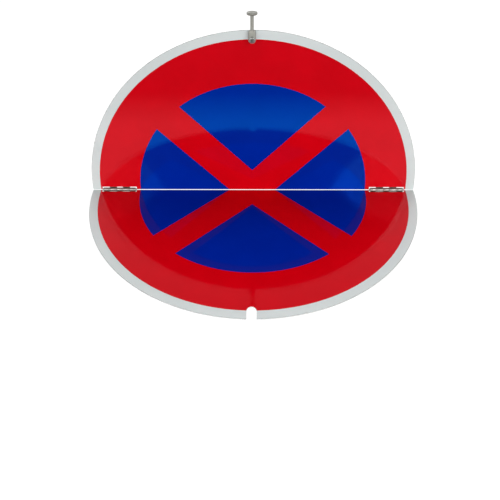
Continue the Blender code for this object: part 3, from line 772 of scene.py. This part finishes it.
floorMesh.to_mesh(floorData)
floorMesh.free()
floor = bpy.data.objects.new("floor", floorData)
bpy.context.scene.collection.objects.link(floor)


# One for rays from the camera or through a clear surface, and nought for those that light the sign
def seenAsBackground(tree):
    rays = addNode(tree, "LightPath").outputs
    seen = addNode(tree, "Math", {}, {0: rays["Is Camera Ray"], 1: rays["Is Transmission Ray"]},
                   operation="MAXIMUM")
    return rays["Is Glossy Ray"], seen.outputs[0]


# Plain white paper floor. It keeps the soft shadow, and shiny pieces see it fall off in front.
paper = bpy.data.materials.new("whitePaperFloor")
paper.use_nodes = True
tree = paper.node_tree
tree.nodes.clear()
glossy, seen = seenAsBackground(tree)
fade = setting["mirrorGlow"]
spot = addNode(tree, "SeparateXYZ", {}, {0: addNode(tree, "TexCoord").outputs["Object"]})
mirrored = addNode(tree, "MapRange", {"From Min": fade["far"], "From Max": fade["near"],
                                      "To Min": fade["dim"], "To Max": fade["bright"]},
                   {"Value": spot.outputs["Y"]})
plain = addNode(tree, "Math", {1: setting["floorGlow"]}, {0: seen}, operation="MULTIPLY")
shiny = addNode(tree, "Math", {}, {0: glossy, 1: mirrored.outputs[0]}, operation="MULTIPLY")
level = addNode(tree, "Math", {}, {0: plain.outputs[0], 1: shiny.outputs[0]}, operation="MAXIMUM")
glow = addNode(tree, "Emission", {"Color": (1, 1, 1, 1)}, {"Strength": level.outputs[0]})
matt = addNode(tree, "BsdfDiffuse", {"Color": (*[setting["floorTone"]] * 3, 1)})
both = addNode(tree, "AddShader", {}, {0: glow.outputs[0], 1: matt.outputs[0]})
addNode(tree, "OutputMaterial", {}, {"Surface": both.outputs[0]})
floorData.materials.append(paper)

# Plain pale room: white to the camera, dim as light, and darker overhead to shiny pieces
world = bpy.data.worlds.new("plainStudio")
bpy.context.scene.world = world
world.use_nodes = True
tree = world.node_tree
tree.nodes.clear()
glossy, seen = seenAsBackground(tree)
ceiling = setting["ceiling"]
rise = addNode(tree, "SeparateXYZ", {}, {0: addNode(tree, "TexCoord").outputs["Generated"]})
overhead = addNode(tree, "MapRange", {"From Min": ceiling["low"], "From Max": ceiling["high"],
                                      "To Min": 1.0, "To Max": ceiling["level"]},
                   {"Value": rise.outputs["Z"]})
shiny = addNode(tree, "Math", {}, {0: glossy, 1: overhead.outputs[0]}, operation="MULTIPLY")
shown = addNode(tree, "Math", {}, {0: seen, 1: shiny.outputs[0]}, operation="MAXIMUM")
level = addNode(tree, "Math", {1: setting["ambient"]}, {0: shown.outputs[0]}, operation="MAXIMUM")
sky = addNode(tree, "Background", {"Color": (1, 1, 1, 1)}, {"Strength": level.outputs[0]})
addNode(tree, "OutputWorld", {}, {"Surface": sky.outputs[0]})

# Round lamps are seen in shiny surfaces as the photo's two round softboxes are; others only light
for lamp in setting["lamps"]:
    lampData = bpy.data.lights.new(lamp["name"], "AREA")
    lampData.shape = "ELLIPSE" if lamp["mirrored"] else "RECTANGLE"
    lampData.size, lampData.size_y = lamp["size"]
    lampData.energy = lamp["power"]
    place = Vector(lamp["place"])
    facing = place.to_track_quat("Z", "Y").to_matrix().to_4x4()
    box = bpy.data.objects.new(lamp["name"], lampData)
    box.visible_glossy = lamp["mirrored"]
    box.matrix_world = Matrix.Translation(place) @ facing
    bpy.context.scene.collection.objects.link(box)

bpy.context.scene.view_settings.view_transform = "Standard"

# The photograph was taken from in front and above, at arm's length over the open sign
cameraSetting = {
    "offset": (0.0183994, -0.008981, -1.0226032),  # the hinge's middle as the camera sees it
    "height": 37.65,  # degrees that the camera looks down
    "yaw": -0.022,
    "roll": -0.0012,
    "sensor": 36,
    "lens": 39.198,
    "shiftX": 0.015,
    "shiftY": -0.1303,
}
high = math.radians(cameraSetting["height"])
upright = Matrix(((1, 0, 0), (0, math.sin(high), math.cos(high)),
                  (0, -math.cos(high), math.sin(high))))
yaw = Matrix.Rotation(cameraSetting["yaw"], 3, "Y")
roll = Matrix.Rotation(cameraSetting["roll"], 3, "Z")
fromCamera = (yaw @ roll @ upright).transposed()
cameraData = bpy.data.cameras.new("photoCamera")
cameraData.sensor_width = cameraSetting["sensor"]
cameraData.lens = cameraSetting["lens"]
cameraData.shift_x = cameraSetting["shiftX"]
cameraData.shift_y = cameraSetting["shiftY"]
camera = bpy.data.objects.new("photoCamera", cameraData)
cameraPlace = fromCamera.to_4x4()
cameraPlace.translation = Vector(sign["hinge"]) - fromCamera @ Vector(cameraSetting["offset"])
camera.matrix_world = cameraPlace
bpy.context.scene.collection.objects.link(camera)
bpy.context.scene.camera = camera
print("floor, light and camera set")
